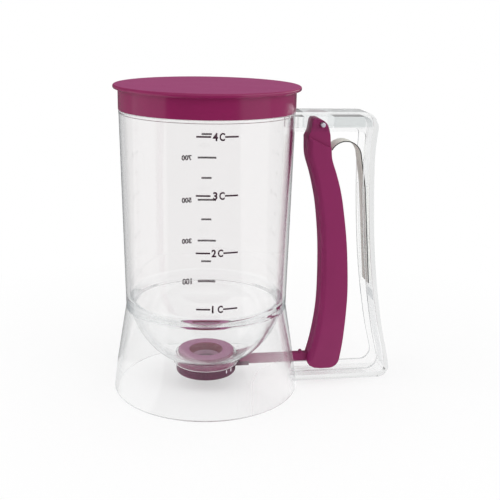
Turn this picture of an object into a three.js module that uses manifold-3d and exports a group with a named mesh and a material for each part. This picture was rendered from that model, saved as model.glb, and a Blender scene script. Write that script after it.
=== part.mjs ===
// Pancake batter dispenser: a clear jug with a funnel bottom on a flared base, a push-on lid, and a
// channel handle holding a sprung trigger that draws a gate from under the outlet.
// Millimetres, +Z up, the handle towards +X, the origin under the middle of the whole object.
import * as THREE from "three";
import { mergeVertices } from "three/addons/utils/BufferGeometryUtils.js";
import Module from "manifold-3d";

const wasm = await Module();
wasm.setup();

// Clearances
const fitGap = 0.3; // between pieces that seat in, or are cut by, each other
const runningGap = 0.3; // between pieces that move past each other
const overrun = 5; // how far a cutting solid runs past what it cuts

// Jug
const rimRadius = 51.2; // outside of the thin lip that the lid covers
const rimHeight = 187.3;
const lipWall = 1.1;
const collarStep = 1.2; // from the lip out to the collar, which is flush with the lid's skirt
const jugTaper = 2.5; // how much narrower the jug is at its waist than at its collar
const collarRadius = rimRadius + collarStep;
const waistRadius = collarRadius - jugTaper;
const waistHeight = 54.2;
const jugWall = 2.2;
const flangeHeight = 5.6; // thick ring above the waist, which carries the bowl
const flangeTop = waistHeight + flangeHeight;

// Base skirt
const footFlare = 8.3; // how far the foot stands out from the waist
const shinFlare = 6.5; // how far the line stands out where the flare turns steeper
const shinHeight = 15;
const skirtWall = 2.2;
const footRadius = waistRadius + footFlare;
const shinRadius = waistRadius + shinFlare;

// Outlet spigot
const spigotBore = 18.4; // inside radius
const spigotWall = 2.2;
const spigotBottom = 15;
const spigotLength = 3.53;
const spigotRadius = spigotBore + spigotWall;
const spigotTop = spigotBottom + spigotLength;

// Funnel bowl, a hollow sphere that meets the skirt's inside and the top of the spigot
const bowlWall = 2.2;
const bowlRadius = waistRadius - skirtWall - bowlWall;
const bowlCentreHeight = spigotTop + Math.sqrt((bowlRadius + bowlWall) ** 2 - spigotRadius ** 2);

// Outlet seat and seal
const outletRadius = 8;
const mouthFlare = 2.8; // how much the seat's bore widens to its mouth
const seatHeight = 7.6;
const seatEdge = 1; // chamfer round the seat's top
const sealWidth = 4;
const sealThickness = 1;
const seatBottom = spigotBottom - fitGap;
const sealBottom = seatBottom - sealThickness;

// Gate
const gateLap = 1.6; // how far the gate covers past the outlet
const gateThickness = 2.4;
const tongueLength = 6.3; // lap of the gate's tongue under the rod
const pegRadius = 1.1;
const pegHeight = 2.2;
const gateRadius = outletRadius + gateLap;
const gateTop = sealBottom - runningGap;
const gateBottom = gateTop - gateThickness;

// Bayonet cap
const capLap = 0.5; // how far the cap stands out past the spigot's bore
const capFloor = 2.2;
const capWall = 2;
const capEdge = 1.2; // chamfer round the cap's foot
const capRadius = spigotBore + capLap;
const capTop = seatBottom;
const capFloorTop = gateBottom - runningGap;
const capBottom = capFloorTop - capFloor;

// Lid
const lidPlate = 2;
const lidSkirtWall = 1.1;
const lidSkirtDepth = 12.3; // below the jug's rim
const lidOverhang = 2.95; // of the rim past the skirt
const lidRim = 2.4; // thickness of the overhanging rim
const lidRimEdge = 0.9;
const lidTop = rimHeight + fitGap + lidPlate;
const lidSkirtInside = rimRadius + fitGap;
const lidSkirtRadius = lidSkirtInside + lidSkirtWall;
const lidSkirtBottom = rimHeight - lidSkirtDepth;
const lidRadius = lidSkirtRadius + lidOverhang;
const collarHeight = lidSkirtBottom - fitGap; // the ledge under the lid's skirt

// Channel handle
const handleWidth = 18;
const handleWall = 2;
const handleWeb = 2.8;
const handleDrop = 0.6; // from the lid's skirt down to the handle's top
const handleBottom = 1.2;
const topArmDepth = 11.6;
const spineDepth = 6.8;
const topCornerRadius = 10;
const footCornerRadius = 7;
const innerCornerRadius = 7.2;
const cornerEase = 1.4; // from the inner corner's end out to the spine's free edge
const channelWidth = handleWidth - 2 * handleWall;
const handleTop = lidSkirtBottom - handleDrop;
const armTopPlateHeight = handleTop - handleWeb;
const armFloorHeight = handleBottom + handleWeb;
const topArmBottom = handleTop - topArmDepth;

// Pivot pin
const pinStandoff = 17.8; // from the jug's rim out to the pin
const pinRadius = 1.35;
const headRise = 3.79; // height of the trigger's head above the pin
const headGap = 1.31; // from the head up to the handle's top plate
const pinReach = rimRadius + pinStandoff;
const pinHeight = armTopPlateHeight - headGap - headRise;

// Push rod
const rodStandoff = 0.6; // from the spigot to the rod's near end
const rodLift = 1; // from the gate's underside up to the rod's
const rodHeight = 5.4;
const rodWidth = 5;
const rodTail = 1; // rod left behind the trunnion
const trunnionOffset = 4; // beyond the pin
const trunnionRadius = 1.5;
const trunnionLength = 10;
const nubOffset = 11; // from the trunnion back to the stop nub on top of the rod
const nubRadius = 1.2;
const rodStart = spigotRadius + rodStandoff;
const rodBottom = gateBottom + rodLift;
const rodTop = rodBottom + rodHeight;
const trunnionReach = pinReach + trunnionOffset;
const trunnionHeight = rodBottom + rodHeight / 2;

// Window in the base skirt that the rod slides through
const windowSideGap = 1;
const windowBelow = 3.6;
const windowAbove = 1.6;

// Trigger
const gripDepth = 16;
const gripWidth = 16;
const headSideGap = 0.5; // between the head and the handle's walls
const triggerWall = 2;
const triggerFrontWall = 2.4;
const ribThickness = 1.6;
const cellCount = 4;
const footFloor = 3.4; // from the trigger's foot up to the rod
const coreFloor = 6.6; // from the rod up to the lowest hollow cell
const coreCeiling = 30.5; // from the pin down to the highest cell's top
const heelRadius = 7;
const toeRadius = 2.5;
const headWidth = channelWidth - 2 * headSideGap;
const triggerBottom = rodBottom - footFloor;
const triggerRise = pinHeight - triggerBottom;
const coreBottom = rodTop + coreFloor;
const coreTop = pinHeight - coreCeiling;
// How far the trigger's foot lifts over its whole swing, which the rod's slots allow for
const footLift = 1.5;
// Side view of the trigger: height as a share of the rise to the pin, then its front and back
// edges as shares of the grip's depth, measured from the pin
const gripShares = [
  [0.04, -0.03, 1.07],
  [0.116, 0.11, 1.175],
  [0.236, 0.225, 1.256],
  [0.354, 0.269, 1.269],
  [0.523, 0.219, 1.15],
  [0.666, 0.063, 0.95],
  [0.745, -0.088, 0.794],
  [0.811, -0.269, 0.6],
  [0.863, -0.45, 0.42],
  [0.896, -0.513, 0.372],
  [0.946, -0.544, 0.334],
];
// The head round the pin, from its front edge over the top and down its back: shares of the
// head's rise above the pin, and of the grip's depth
const headShares = [
  [-1, -0.44],
  [0.5, -0.39],
  [1, -0.33],
  [1, -0.13],
  [0.583, 0.06],
  [0.042, 0.2],
  [-0.667, 0.262],
  [-1.625, 0.32],
];
// The shoulder line, over which the trigger narrows to its head: front and back heights
const shoulderShares = [0.956, 0.905];

// Handle, where it follows the trigger
const armClearance = 1.2; // from the bottom arm's walls up to the trigger's foot
const spineRun = 34.3; // from the pin out to the spine's top
const spineFlare = 16.1; // from the spine's top out to its foot
const bottomArmTop = triggerBottom - armClearance;
const spineTopReach = pinReach + spineRun;
const handleReach = spineTopReach + spineFlare;
const topArmEnd = spineTopReach - topCornerRadius;
const bottomArmEnd = handleReach - spineDepth - innerCornerRadius - cornerEase;
// Outer edge of the spine, as shares of its height and of its flare, from the top corner to the foot
const spineShares = [
  [0.86, -0.075],
  [0.78, -0.06],
  [0.688, -0.02],
  [0.533, 0.1],
  [0.381, 0.29],
  [0.218, 0.59],
  [0.106, 0.88],
];

// Leaf spring: a flat strip, its leg along the spine, bent over to press on the trigger's back
const stripSideGap = 0.7; // between the strip and the handle's walls
const stripThickness = 0.6;
const archTipDrop = 15.61; // from the pin down to the arch's tip
const kneeDrop = 22.49; // from the tip down to the knee
const kneeRun = 3.1; // from the arch's far side out to the knee
const kneeInset = 5.27; // from the spine's outer edge in to the knee
const legDrop = 62.8; // from the knee down to the leg's foot
const legInset = 5.01; // from the spine's outer edge in to the leg's foot
const archTipAngle = THREE.MathUtils.degToRad(153);
const archHeelAngle = THREE.MathUtils.degToRad(12);
const stripWidth = channelWidth - 2 * stripSideGap;
const archTipHeight = pinHeight - archTipDrop;
const kneeHeight = archTipHeight - kneeDrop;
const legFootHeight = kneeHeight - legDrop;
// Between the arch and the knee: shares of the way across and of the way down
const bendShares = [
  [0.42, 0.41],
  [0.79, 0.78],
];

// Rails that hold the spring's leg
const railWidth = 1.4;
const railHalfDepth = 1.4;
const railStop = 2; // closed end of the groove, under the strip's foot

// Counts
const jugSegments = 64;
const valveSegments = 48;
const pinSegments = 16;
const bowlSteps = 9;
const splineSteps = 22;
const cornerSteps = 5;
const stripSteps = 10;

// The whole object's middle lies between the skirt's back and the handle's outer edge
const axisReach = (footRadius - handleReach) / 2;

// Solids
function toSolid(geometry) {
  const bare = geometry.clone();
  bare.deleteAttribute("normal");
  bare.deleteAttribute("uv");
  const merged = mergeVertices(bare);
  return new wasm.Manifold(
    new wasm.Mesh({
      numProp: 3,
      vertProperties: merged.attributes.position.array,
      triVerts: new Uint32Array(merged.index.array),
    }),
  );
}

function toGeometry(solid) {
  const mesh = solid.getMesh();
  const geometry = new THREE.BufferGeometry();
  geometry.setAttribute("position", new THREE.BufferAttribute(mesh.vertProperties, 3));
  geometry.setIndex(new THREE.BufferAttribute(mesh.triVerts, 1));
  geometry.computeVertexNormals();
  return geometry;
}

// A ring or disc turned about the Z axis from a closed profile of [radius, height] points
function turned(profile, segments) {
  const points = [...profile, profile[0]].map(([radius, height]) => new THREE.Vector2(radius, height));
  return new THREE.LatheGeometry(points, segments).rotateX(Math.PI / 2);
}

// A plate cut to an outline of [reach, height] points, between two places across the object
function slab(outline, yLow, yHigh) {
  const shape = new THREE.Shape(outline.map(([x, z]) => new THREE.Vector2(x, z)));
  const geometry = new THREE.ExtrudeGeometry(shape, { depth: yHigh - yLow, bevelEnabled: false });
  return toSolid(geometry.rotateX(Math.PI / 2).translate(0, yHigh, 0));
}

function centredSlab(outline, width) {
  return slab(outline, -width / 2, width / 2);
}

function block(xLow, xHigh, width, zLow, zHigh) {
  const geometry = new THREE.BoxGeometry(xHigh - xLow, width, zHigh - zLow);
  return toSolid(geometry.translate((xLow + xHigh) / 2, 0, (zLow + zHigh) / 2));
}

// A round bar lying across the object
function crossBar(radius, width, x, z) {
  return toSolid(new THREE.CylinderGeometry(radius, radius, width, pinSegments).translate(x, 0, z));
}

// An upright round bar
function post(radius, zLow, zHigh, segments) {
  const geometry = new THREE.CylinderGeometry(radius, radius, zHigh - zLow, segments);
  return toSolid(geometry.rotateX(Math.PI / 2).translate(0, 0, (zLow + zHigh) / 2));
}

function arc(x, z, radius, startAngle, endAngle) {
  return Array.from({ length: cornerSteps + 1 }, (_, i) => {
    const angle = startAngle + ((endAngle - startAngle) * i) / cornerSteps;
    return [x + radius * Math.cos(angle), z + radius * Math.sin(angle)];
  });
}

function spline(points, steps) {
  const curve = new THREE.SplineCurve(points.map(([x, z]) => new THREE.Vector2(x, z)));
  return curve.getPoints(steps).map((point) => [point.x, point.y]);
}

// A straight line between two points, lengthened at its start and at its end
function lengthened([[startX, startZ], [endX, endZ]], before, after) {
  const length = Math.hypot(endX - startX, endZ - startZ);
  const [alongX, alongZ] = [(endX - startX) / length, (endZ - startZ) / length];
  return [
    [startX - alongX * before, startZ - alongZ * before],
    [endX + alongX * after, endZ + alongZ * after],
  ];
}

// Moves each point of a line sideways, to the right of its direction of travel
function inset(line, distance) {
  return line.map(([x, z], i) => {
    const [beforeX, beforeZ] = line[Math.max(i - 1, 0)];
    const [afterX, afterZ] = line[Math.min(i + 1, line.length - 1)];
    const length = Math.hypot(afterX - beforeX, afterZ - beforeZ);
    return [
      x + (distance * (afterZ - beforeZ)) / length,
      z - (distance * (afterX - beforeX)) / length,
    ];
  });
}

// Reach of a line at a height that it passes once
function reachAt(line, height) {
  const i = line.findIndex(([, z], k) => k > 0 && (z - height) * (line[k - 1][1] - height) <= 0);
  const [[beforeX, beforeZ], [afterX, afterZ]] = [line[i - 1], line[i]];
  return THREE.MathUtils.lerp(beforeX, afterX, (height - beforeZ) / (afterZ - beforeZ));
}

// The jug's outside radius at a height, below its collar
function jugRadiusAt(height) {
  const share = (height - waistHeight) / (collarHeight - waistHeight);
  return THREE.MathUtils.lerp(waistRadius, collarRadius, share);
}

// Clear body
function jugWallTube() {
  const foot = jugRadiusAt(flangeTop);
  return turned(
    [
      [foot - jugWall, flangeTop],
      [foot, flangeTop],
      [collarRadius, collarHeight],
      [rimRadius, collarHeight],
      [rimRadius, rimHeight],
      [rimRadius - lipWall, rimHeight],
    ],
    jugSegments,
  );
}

// Points on the bowl's sphere of one radius, from a ring of one radius up to a height
function bowlLine(radius, ringRadius, topHeight) {
  const low = Math.asin(ringRadius / radius);
  const high = Math.acos((bowlCentreHeight - topHeight) / radius);
  return Array.from({ length: bowlSteps + 1 }, (_, i) => {
    const angle = low + ((high - low) * i) / bowlSteps;
    return [radius * Math.sin(angle), bowlCentreHeight - radius * Math.cos(angle)];
  });
}

function funnelBowl() {
  const outside = bowlLine(bowlRadius + bowlWall, spigotRadius, waistHeight);
  const inside = bowlLine(bowlRadius, spigotBore, waistHeight);
  return turned(
    [
      [spigotBore, spigotTop],
      ...outside,
      [waistRadius, waistHeight],
      [jugRadiusAt(flangeTop), flangeTop],
      [jugRadiusAt(flangeTop) - jugWall, flangeTop],
      ...inside.reverse(),
    ],
    jugSegments,
  );
}

function outletSpigot() {
  return turned(
    [
      [spigotBore, spigotBottom],
      [spigotRadius, spigotBottom],
      [spigotRadius, spigotTop],
      [spigotBore, spigotTop],
    ],
    jugSegments,
  );
}

function baseSkirt() {
  const shell = toSolid(
    turned(
      [
        [footRadius - skirtWall, 0],
        [footRadius, 0],
        [shinRadius, shinHeight],
        [waistRadius, waistHeight],
        [waistRadius - skirtWall, waistHeight],
        [shinRadius - skirtWall, shinHeight],
      ],
      jugSegments,
    ),
  );
  const window = block(
    0,
    footRadius + overrun,
    rodWidth + 2 * windowSideGap,
    rodBottom - windowBelow,
    rodTop + windowAbove,
  );
  return toGeometry(shell.subtract(window));
}

// The space that the jug and the skirt fill, which the handle's arms stop short of
function bodyBlank() {
  return toSolid(
    turned(
      [
        [0, 0],
        [footRadius + fitGap, 0],
        [shinRadius + fitGap, shinHeight],
        [waistRadius + fitGap, waistHeight],
        [collarRadius + fitGap, collarHeight],
        [0, collarHeight],
      ],
      jugSegments,
    ),
  );
}

// Handle
function pinHole(width) {
  return crossBar(pinRadius + fitGap, width, pinReach, pinHeight);
}

function handleTopArm() {
  const outline = [
    [rimRadius - jugWall, topArmBottom],
    [topArmEnd, topArmBottom],
    [topArmEnd, handleTop],
    [rimRadius - jugWall, handleTop],
  ];
  const channel = block(0, topArmEnd + overrun, channelWidth, topArmBottom - overrun, armTopPlateHeight);
  const arm = centredSlab(outline, handleWidth).subtract(channel).subtract(bodyBlank());
  return toGeometry(arm.subtract(pinHole(handleWidth + overrun)));
}

function handleBottomArm() {
  const outline = [
    [shinRadius - skirtWall, handleBottom],
    [bottomArmEnd, handleBottom],
    [bottomArmEnd, bottomArmTop],
    [shinRadius - skirtWall, bottomArmTop],
  ];
  const channel = block(0, bottomArmEnd + overrun, channelWidth, armFloorHeight, bottomArmTop + overrun);
  return toGeometry(centredSlab(outline, handleWidth).subtract(channel).subtract(bodyBlank()));
}

function spineEdge() {
  const points = spineShares.map(([heightShare, flareShare]) => [
    spineTopReach + spineFlare * flareShare,
    handleTop * heightShare,
  ]);
  const start = [spineTopReach, handleTop - topCornerRadius];
  const end = [handleReach, handleBottom + footCornerRadius];
  return spline([start, ...points, end], splineSteps);
}

// The spine's edge with its two corners, moved in from the outside
function spineLine(distance) {
  const top = arc(
    topArmEnd,
    handleTop - topCornerRadius,
    topCornerRadius - distance,
    Math.PI / 2,
    0,
  );
  const foot = arc(
    handleReach - footCornerRadius,
    handleBottom + footCornerRadius,
    footCornerRadius - distance,
    0,
    -Math.PI / 2,
  );
  const edge = inset(spineEdge(), distance);
  return [...top.slice(0, -1), ...edge, ...foot.slice(1)];
}

// The room inside the spine, at a distance in from its outer edge
function spineRoom(distance) {
  return [
    [topArmEnd - overrun, handleTop - distance],
    ...spineLine(distance),
    [topArmEnd - overrun, handleBottom + distance],
  ];
}

function handleSpine() {
  const freeEdge = inset(spineEdge(), spineDepth).filter(
    ([, z]) => z < topArmBottom && z > bottomArmTop + innerCornerRadius,
  );
  const freeTop = [freeEdge[0][0], topArmBottom];
  const innerCorner = arc(
    bottomArmEnd,
    bottomArmTop + innerCornerRadius,
    innerCornerRadius,
    -Math.PI / 2,
    0,
  );
  const outline = [
    ...spineLine(0),
    [bottomArmEnd, handleBottom],
    ...innerCorner,
    ...freeEdge.reverse(),
    freeTop,
    [topArmEnd, topArmBottom],
  ];
  const channel = centredSlab(spineRoom(handleWeb), channelWidth);
  return toGeometry(centredSlab(outline, handleWidth).subtract(channel));
}

function pivotPin() {
  return toGeometry(crossBar(pinRadius, handleWidth, pinReach, pinHeight));
}

// Leaf spring
function strip(line) {
  const outline = [
    ...inset(line, -stripThickness / 2),
    ...inset(line, stripThickness / 2).reverse(),
  ];
  return toGeometry(centredSlab(outline, stripWidth));
}

function kneeReach() {
  return reachAt(spineEdge(), kneeHeight) - kneeInset;
}

function legLine() {
  return [
    [kneeReach(), kneeHeight - fitGap],
    [reachAt(spineEdge(), legFootHeight) - legInset, legFootHeight],
  ];
}

function springArch() {
  const tipReach = reachAt(gripBack(), archTipHeight) + runningGap + stripThickness / 2;
  const archRadius = (kneeReach() - kneeRun - tipReach) / (1 - Math.cos(archTipAngle));
  const archReach = tipReach - archRadius * Math.cos(archTipAngle);
  const archHeight = archTipHeight - archRadius * Math.sin(archTipAngle);
  const sweep = (archHeelAngle - archTipAngle) / stripSteps;
  const bend = Array.from({ length: stripSteps + 1 }, (_, i) => [
    archReach + archRadius * Math.cos(archTipAngle + sweep * i),
    archHeight + archRadius * Math.sin(archTipAngle + sweep * i),
  ]);
  const [heelX, heelZ] = bend[stripSteps];
  const descent = bendShares.map(([acrossShare, downShare]) => [
    THREE.MathUtils.lerp(heelX, kneeReach(), acrossShare),
    THREE.MathUtils.lerp(heelZ, kneeHeight, downShare),
  ]);
  return strip([...bend, ...descent, [kneeReach(), kneeHeight]]);
}

// A straight band of one half width along a two-point line
function band(line, halfWidth) {
  return [...inset(line, -halfWidth), ...inset([...line].reverse(), -halfWidth)];
}

// One rail stands on each inner wall of the spine, with a groove for the strip's edge
function springRail(side) {
  const bar = band(lengthened(legLine(), 0, railStop), railHalfDepth);
  const groove = band(lengthened(legLine(), overrun, fitGap), stripThickness / 2 + fitGap);
  const wallFace = channelWidth / 2;
  const innerFace = wallFace - railWidth;
  const grooveEnd = stripWidth / 2 + fitGap;
  const room = centredSlab(spineRoom(handleWeb + fitGap), handleWidth);
  const rail = slab(bar, innerFace, wallFace)
    .subtract(slab(groove, innerFace - overrun, grooveEnd))
    .intersect(room);
  return toGeometry(side > 0 ? rail : rail.mirror([0, 1, 0]));
}

// Outlet valve
function valveSeat() {
  const radius = spigotBore - fitGap;
  const seatTop = seatBottom + seatHeight;
  return turned(
    [
      [outletRadius, seatBottom],
      [radius, seatBottom],
      [radius, seatTop - seatEdge],
      [radius - seatEdge, seatTop],
      [outletRadius + mouthFlare, seatTop],
    ],
    valveSegments,
  );
}

function sealRing() {
  return turned(
    [
      [outletRadius, sealBottom],
      [outletRadius + sealWidth, sealBottom],
      [outletRadius + sealWidth, seatBottom],
      [outletRadius, seatBottom],
    ],
    valveSegments,
  );
}

function valveCap() {
  const cup = toSolid(
    turned(
      [
        [outletRadius, capBottom],
        [capRadius - capEdge, capBottom],
        [capRadius, capBottom + capEdge],
        [capRadius, capTop],
        [capRadius - capWall, capTop],
        [capRadius - capWall, capFloorTop],
        [outletRadius, capFloorTop],
      ],
      valveSegments,
    ),
  );
  const wayWidth = 2 * (gateRadius + runningGap);
  const gateWay = block(0, capRadius + overrun, wayWidth, capFloorTop, capTop + overrun);
  return toGeometry(cup.subtract(gateWay));
}

// Sliding gate and rod
function gatePlate() {
  const disc = post(gateRadius, gateBottom, gateTop, valveSegments);
  const tongue = block(0, rodStart + tongueLength, rodWidth, gateBottom, gateTop);
  const peg = post(pegRadius, gateBottom, gateTop + pegHeight, pinSegments);
  return toGeometry(disc.add(tongue).add(peg.translate([rodStart + tongueLength / 2, 0, 0])));
}

function pushRod() {
  const end = trunnionReach + trunnionRadius + rodTail;
  const bar = block(rodStart, end, rodWidth, rodBottom, rodTop);
  const lap = block(
    rodStart - overrun,
    rodStart + tongueLength + fitGap,
    rodWidth + overrun,
    rodBottom - overrun,
    gateTop + fitGap,
  );
  const pegHole = post(pegRadius + fitGap, rodBottom, gateTop + pegHeight + fitGap, pinSegments);
  const trunnion = crossBar(trunnionRadius, trunnionLength, trunnionReach, trunnionHeight);
  const nub = crossBar(nubRadius, rodWidth, trunnionReach - nubOffset, rodTop);
  return toGeometry(
    bar
      .subtract(lap)
      .subtract(pegHole.translate([rodStart + tongueLength / 2, 0, 0]))
      .add(trunnion)
      .add(nub),
  );
}

// Lid
function lidCover() {
  return turned(
    [
      [0, lidTop - lidPlate],
      [lidSkirtInside, lidTop - lidPlate],
      [lidSkirtInside, lidSkirtBottom],
      [lidSkirtRadius, lidSkirtBottom],
      [lidSkirtRadius, lidTop - lidRim],
      [lidRadius - lidRimEdge, lidTop - lidRim],
      [lidRadius, lidTop - lidRim + lidRimEdge],
      [lidRadius, lidTop - lidRimEdge],
      [lidRadius - lidRimEdge, lidTop],
      [0, lidTop],
    ],
    jugSegments,
  );
}

// Trigger
function triggerPoint([heightShare, depthShare]) {
  return [pinReach + gripDepth * depthShare, triggerBottom + triggerRise * heightShare];
}

function gripFront() {
  return spline(gripShares.map(([height, front]) => triggerPoint([height, front])), splineSteps / 2);
}

function gripBack() {
  return spline(gripShares.map(([height, , back]) => triggerPoint([height, back])), splineSteps / 2);
}

function triggerOutline() {
  const [frontX] = gripFront()[0];
  const [backX] = gripBack()[0];
  const heel = arc(backX - heelRadius, triggerBottom + heelRadius, heelRadius, 0, -Math.PI / 2);
  const toe = arc(frontX + toeRadius, triggerBottom + toeRadius, toeRadius, -Math.PI / 2, -Math.PI);
  return [
    ...gripFront(),
    ...headShares.map(([rise, depth]) => [pinReach + gripDepth * depth, pinHeight + headRise * rise]),
    ...gripBack().reverse(),
    ...heel.slice(1),
    ...toe,
  ];
}

// The part of the outline over the shoulder, which is cut from the full width
function overShoulder() {
  const [frontShare, backShare] = shoulderShares;
  const frontX = pinReach - gripDepth;
  const backX = pinReach + gripDepth;
  return [
    [frontX, triggerBottom + triggerRise * frontShare],
    [backX, triggerBottom + triggerRise * backShare],
    [backX, handleTop],
    [frontX, handleTop],
  ];
}

// The grip's hollow back, one cell at a time between cross ribs
function triggerCells() {
  const step = (coreTop - coreBottom + ribThickness) / cellCount;
  const frontWall = inset(gripFront(), triggerFrontWall);
  const hollow = centredSlab(
    [
      ...frontWall,
      [pinReach + 2 * gripDepth, frontWall.at(-1)[1]],
      [pinReach + 2 * gripDepth, frontWall[0][1]],
    ],
    gripWidth - 2 * triggerWall,
  );
  return Array.from({ length: cellCount }, (_, i) => {
    const floor = coreBottom + step * i;
    return hollow.intersect(
      block(0, pinReach + 2 * gripDepth, gripWidth, floor, floor + step - ribThickness),
    );
  });
}

// The slot in the grip's foot for the rod, with grooves for its trunnion to rise and fall in
function rodSlots() {
  const end = trunnionReach + trunnionRadius + rodTail + 2 * runningGap;
  const slot = block(
    0,
    end,
    rodWidth + 2 * runningGap,
    rodBottom - footLift - 2 * runningGap,
    rodTop + runningGap,
  );
  const groove = block(
    trunnionReach - trunnionRadius - runningGap,
    trunnionReach + trunnionRadius + runningGap,
    trunnionLength + 2 * runningGap,
    trunnionHeight - trunnionRadius - footLift - 2 * runningGap,
    trunnionHeight + trunnionRadius + runningGap,
  );
  return slot.add(groove);
}

function triggerLever() {
  const head = centredSlab(triggerOutline(), headWidth);
  const grip = centredSlab(triggerOutline(), gripWidth);
  const shoulder = centredSlab(overShoulder(), gripWidth + overrun);
  const blank = head.add(grip.subtract(shoulder));
  const cut = blank.subtract(pinHole(gripWidth + overrun)).subtract(rodSlots());
  return toGeometry(triggerCells().reduce((solid, cell) => solid.subtract(cell), cut));
}

// Finishes
const clearPlastic = { color: 0xf1f5f6, roughness: 0.08, metalness: 0 };
const plumPlastic = { color: 0x84305c, roughness: 0.35, metalness: 0 };
const plumLid = { color: 0x8f3865, roughness: 0.45, metalness: 0 };
const steel = { color: 0xb4b6b4, roughness: 0.3, metalness: 0.9 };
const silicone = { color: 0xb98aa4, roughness: 0.6, metalness: 0 };

function piece(name, geometry, finish) {
  const mesh = new THREE.Mesh(geometry, new THREE.MeshStandardMaterial(finish));
  mesh.name = name;
  return mesh;
}

const clearBody = new THREE.Group().add(
  piece("jug_wall", jugWallTube(), clearPlastic),
  piece("funnel_bowl", funnelBowl(), clearPlastic),
  piece("outlet_spigot", outletSpigot(), clearPlastic),
  piece("base_skirt", baseSkirt(), clearPlastic),
  piece("handle_top_arm", handleTopArm(), clearPlastic),
  piece("handle_spine", handleSpine(), clearPlastic),
  piece("handle_bottom_arm", handleBottomArm(), clearPlastic),
  piece("spring_rail_near", springRail(-1), clearPlastic),
  piece("spring_rail_far", springRail(1), clearPlastic),
  piece("pivot_pin", pivotPin(), steel),
  piece("leaf_spring_leg", strip(legLine()), steel),
);

const valve = new THREE.Group().add(
  piece("valve_seat", valveSeat(), plumPlastic),
  piece("seal_ring", sealRing(), silicone),
  piece("valve_cap", valveCap(), plumPlastic),
);

const movingPieces = new THREE.Group().add(
  piece("lid_cover", lidCover(), plumLid),
  piece("trigger_lever", triggerLever(), plumPlastic),
  piece("push_rod", pushRod(), plumPlastic),
  piece("gate_plate", gatePlate(), plumPlastic),
  piece("leaf_spring_arch", springArch(), steel),
);

const dispenser = new THREE.Group().add(clearBody, valve, movingPieces);
dispenser.position.x = axisReach;

export default new THREE.Group().add(dispenser);
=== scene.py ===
import math

import bpy
from mathutils import Matrix, Vector


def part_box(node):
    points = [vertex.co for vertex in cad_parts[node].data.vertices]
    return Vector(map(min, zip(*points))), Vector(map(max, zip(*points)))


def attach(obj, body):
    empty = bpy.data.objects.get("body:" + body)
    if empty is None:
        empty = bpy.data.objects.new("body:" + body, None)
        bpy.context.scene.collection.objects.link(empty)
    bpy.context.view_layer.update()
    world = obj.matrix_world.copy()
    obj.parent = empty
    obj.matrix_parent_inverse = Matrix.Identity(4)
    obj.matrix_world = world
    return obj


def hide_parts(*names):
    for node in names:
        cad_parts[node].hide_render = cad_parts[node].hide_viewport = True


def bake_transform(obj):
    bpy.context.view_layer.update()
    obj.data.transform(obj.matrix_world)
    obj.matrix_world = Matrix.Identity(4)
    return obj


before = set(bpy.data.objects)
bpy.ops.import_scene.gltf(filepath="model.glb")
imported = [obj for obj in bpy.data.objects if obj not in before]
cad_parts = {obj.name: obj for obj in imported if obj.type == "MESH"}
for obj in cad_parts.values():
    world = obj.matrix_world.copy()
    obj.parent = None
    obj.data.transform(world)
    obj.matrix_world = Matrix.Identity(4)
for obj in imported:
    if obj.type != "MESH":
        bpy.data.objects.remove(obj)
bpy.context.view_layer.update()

mm = 0.001
weld = 1e-6
jugLow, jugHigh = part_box("jug_wall")
axisX = (jugLow[0] + jugHigh[0]) / 2  # the jug's own axis
jugAxis = (axisX, 0.0, 0.0)


# Selecting and modelling

def letGo():
    if bpy.context.object and bpy.context.object.mode != "OBJECT":
        bpy.ops.object.mode_set(mode="OBJECT")
    bpy.ops.object.select_all(action="DESELECT")


def take(obj):
    letGo()
    obj.select_set(True)
    bpy.context.view_layer.objects.active = obj


def edit(obj):
    take(obj)
    bpy.ops.object.mode_set(mode="EDIT")
    bpy.ops.mesh.select_all(action="SELECT")


def welded():
    bpy.ops.mesh.select_all(action="SELECT")
    bpy.ops.mesh.remove_doubles(threshold=weld)


def outward(obj):
    edit(obj)
    bpy.ops.mesh.normals_make_consistent(inside=False)
    bpy.ops.object.mode_set(mode="OBJECT")
    return obj


def place(reach, height, across=0.0):
    # millimetres out from the jug's axis, up and across, as a point of the frame
    return Vector((axisX + reach * mm, across * mm, height * mm))


def traced(name, points, across=0.0, closed=True):
    # one vertex, extruded from point to point
    letGo()
    bpy.ops.mesh.primitive_plane_add(size=mm)
    obj = bpy.context.object
    obj.name = obj.data.name = name
    path = [place(x, z, across) for x, z in points]
    if closed:
        path.append(path[0])
    edit(obj)
    bpy.ops.mesh.merge(type="CENTER")
    bpy.ops.transform.translate(value=path[0])
    for before, after in zip(path, path[1:]):
        bpy.ops.mesh.extrude_vertices_move(TRANSFORM_OT_translate={"value": after - before})
    welded()
    bpy.ops.object.mode_set(mode="OBJECT")
    return obj


def spun(name, profile, steps, closed=True):
    obj = traced(name, profile, closed=closed)
    edit(obj)
    bpy.ops.mesh.spin(steps=steps, angle=2 * math.pi, center=jugAxis, axis=(0, 0, 1))
    welded()
    return outward(obj)


def slab(name, outline, width):
    # a flat outline with a width, half of it on each side of the object's middle
    obj = traced(name, outline, -width / 2)
    edit(obj)
    bpy.ops.mesh.edge_face_add()
    bpy.ops.mesh.extrude_region_move(TRANSFORM_OT_translate={"value": (0, width * mm, 0)})
    return outward(obj)


def block(name, low, high):
    # a box between two corners in millimetres from the jug's axis
    a, b = place(low[0], low[2], low[1]), place(high[0], high[2], high[1])
    letGo()
    bpy.ops.mesh.primitive_cube_add(size=1, location=(a + b) / 2, scale=b - a)
    return settle(name)


def settle(name):
    obj = bpy.context.object
    obj.name = obj.data.name = name
    bpy.ops.object.transform_apply(location=True, rotation=True, scale=True)
    return obj


def bar(name, radius, reach, height, length, upright=False, sides=48):
    # a round bar about its middle, across the object or upright
    letGo()
    bpy.ops.mesh.primitive_cylinder_add(
        vertices=sides, radius=radius * mm, depth=length * mm, location=place(reach, height),
        rotation=(0, 0, 0) if upright else (math.pi / 2, 0, 0))
    return settle(name)


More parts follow.
